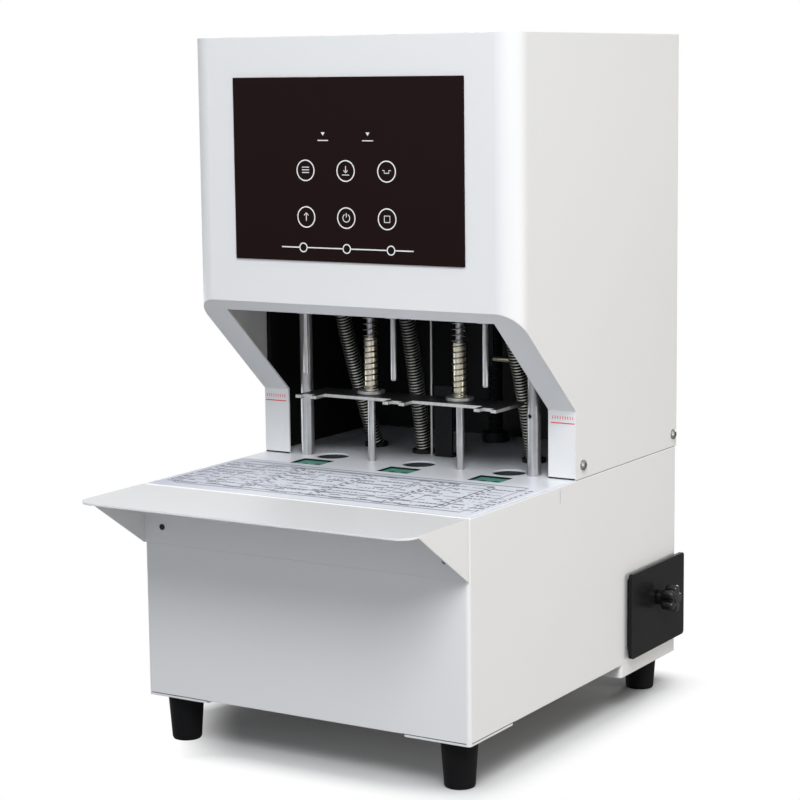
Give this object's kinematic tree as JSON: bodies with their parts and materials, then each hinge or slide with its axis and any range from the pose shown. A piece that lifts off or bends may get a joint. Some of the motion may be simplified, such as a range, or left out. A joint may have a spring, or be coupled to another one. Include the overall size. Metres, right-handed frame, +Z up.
{
  "type": "thread binding machine",
  "caption": "White desk machine that presses a stack of paper and drills binding holes for thread, with a touch panel head, drill carriage, press plate and chip drawer.",
  "frame": {"origin": "bottom centre of the whole object's box, on the floor", "axes": "+Z up, +Y towards the back of the machine, +X towards the side with the drawer knob"},
  "size_m": [0.3046, 0.4238, 0.527],
  "materials": {
    "white_paint": "satin powder coat",
    "black_paint": "satin black powder coat",
    "rubber": "moulded, matt",
    "steel": "ground",
    "bright_steel": "ground and plated",
    "spring_steel": "drawn wire",
    "brass": "turned",
    "aluminium": "machined",
    "dark_metal": "black oxide",
    "pad_green": "cut nylon",
    "panel_black": "glossy overlay",
    "print_sheet": "laminated print",
    "board_green": "solder mask",
    "black_plastic": "moulded",
    "drawer_black": "semi-gloss black",
    "red_plastic": "moulded"
  },
  "bodies": {
    "stand": {"base_shell": "white_paint", "base_floor": "white_paint", "front_foot_plates": "white_paint", "rear_foot_pan": "white_paint", "table_plate": "white_paint", "front_tray": "white_paint", "head_wrap": "white_paint", "head_lid": "white_paint", "head_back": "white_paint", "side_frames": "black_paint", "back_frame": "black_paint", "crown_plate": "black_paint", "rubber_feet": "rubber", "case_screws": "steel", "foot_bolts": "steel", "bed_plate": "steel", "pad_carriers": "steel", "drawer_rails": "steel", "guide_columns": "bright_steel", "guide_posts": "bright_steel", "chip_hose_left": "spring_steel", "chip_hose_middle": "spring_steel", "chip_hose_right": "spring_steel", "power_supply": "aluminium", "carriage_sensor": "dark_metal", "hose_ports": "dark_metal", "screw_bearings": "dark_metal", "feed_motor": "dark_metal", "touch_panel": "panel_black", "guide_sheet": "print_sheet", "control_board": "board_green", "power_inlet": "black_plastic"},
    "drill_carriage": {"carriage_plate": "dark_metal", "sensor_flag": "dark_metal", "slide_bushes": "brass", "spindle_housings": "aluminium", "spindle_bearings": "steel", "drill_motor": "dark_metal", "drive_belt": "rubber", "feed_nut": "brass"},
    "left_spindle": {"spindle_left": "bright_steel", "drill_bit_left": "bright_steel"},
    "middle_spindle": {"spindle_middle": "bright_steel", "drill_bit_middle": "bright_steel"},
    "right_spindle": {"spindle_right": "bright_steel", "drill_bit_right": "bright_steel"},
    "motor_rotor": {"motor_pulley": "bright_steel"},
    "press": {"press_plate": "steel", "press_collars": "steel", "press_sleeves": "brass", "press_spring_left": "spring_steel", "press_spring_right": "spring_steel"},
    "lead_screw": {"feed_screw": "dark_metal"},
    "drawer": {"chip_drawer": "drawer_black", "drawer_front": "drawer_black"},
    "drawer_knob": {"star_knob": "black_plastic"},
    "power_rocker": {"rocker_switch": "red_plastic"},
    "left_pad": {"drill_pad_left": "pad_green"},
    "middle_pad": {"drill_pad_middle": "pad_green"},
    "right_pad": {"drill_pad_right": "pad_green"}
  },
  "joints": [
    {"name": "carriage_feed", "type": "slide", "parent": "stand", "child": "drill_carriage", "axis": [0, 0, -1], "range_m": [0, 0.0712], "deforming": ["press_spring_left", "press_spring_right", "chip_hose_left", "chip_hose_middle", "chip_hose_right"]},
    {"name": "press_slide", "type": "slide", "parent": "stand", "child": "press", "axis": [0, 0, -1], "range_m": [0, 0.051]},
    {"name": "feed_screw_turn", "type": "hinge", "parent": "stand", "child": "lead_screw", "pos_m": [-0.00995, 0.15909, 0.198], "axis": [0, 0, 1], "range_deg": [0, 3205]},
    {"name": "motor_spin", "type": "hinge", "parent": "drill_carriage", "child": "motor_rotor", "pos_m": [-0.00995, 0.10609, 0.404], "axis": [0, 0, 1], "continuous": true},
    {"name": "left_spindle_spin", "type": "hinge", "parent": "drill_carriage", "child": "left_spindle", "pos_m": [-0.08995, 0.00009, 0.33], "axis": [0, 0, 1], "continuous": true},
    {"name": "middle_spindle_spin", "type": "hinge", "parent": "drill_carriage", "child": "middle_spindle", "pos_m": [-0.00995, 0.00009, 0.33], "axis": [0, 0, 1], "continuous": true},
    {"name": "right_spindle_spin", "type": "hinge", "parent": "drill_carriage", "child": "right_spindle", "pos_m": [0.07005, 0.00009, 0.33], "axis": [0, 0, 1], "continuous": true},
    {"name": "left_pad_turn", "type": "hinge", "parent": "stand", "child": "left_pad", "pos_m": [-0.08995, 0.00559, 0.1888], "axis": [0, 0, 1], "continuous": true},
    {"name": "middle_pad_turn", "type": "hinge", "parent": "stand", "child": "middle_pad", "pos_m": [-0.00995, 0.00559, 0.1888], "axis": [0, 0, 1], "continuous": true},
    {"name": "right_pad_turn", "type": "hinge", "parent": "stand", "child": "right_pad", "pos_m": [0.07005, 0.00559, 0.1888], "axis": [0, 0, 1], "continuous": true},
    {"name": "drawer_slide", "type": "slide", "parent": "stand", "child": "drawer", "axis": [1, 0, 0], "range_m": [0, 0.15]},
    {"name": "knob_turn", "type": "hinge", "parent": "drawer", "child": "drawer_knob", "pos_m": [0.14235, 0.16209, 0.08218], "axis": [1, 0, 0], "range_deg": [0, 180]},
    {"name": "rocker_tip", "type": "hinge", "parent": "stand", "child": "power_rocker", "pos_m": [-0.09995, 0.20759, 0.114], "axis": [-1, 0, 0], "range_deg": [0, 14]}
  ],
  "couplings": [
    {"joint": "press_slide", "follows": "carriage_feed", "ratio": 0.71489},
    {"joint": "feed_screw_turn", "follows": "carriage_feed", "rad_per_m": 785.4},
    {"joint": "left_spindle_spin", "follows": "motor_spin", "ratio": 1},
    {"joint": "middle_spindle_spin", "follows": "motor_spin", "ratio": 1},
    {"joint": "right_spindle_spin", "follows": "motor_spin", "ratio": 1}
  ]
}
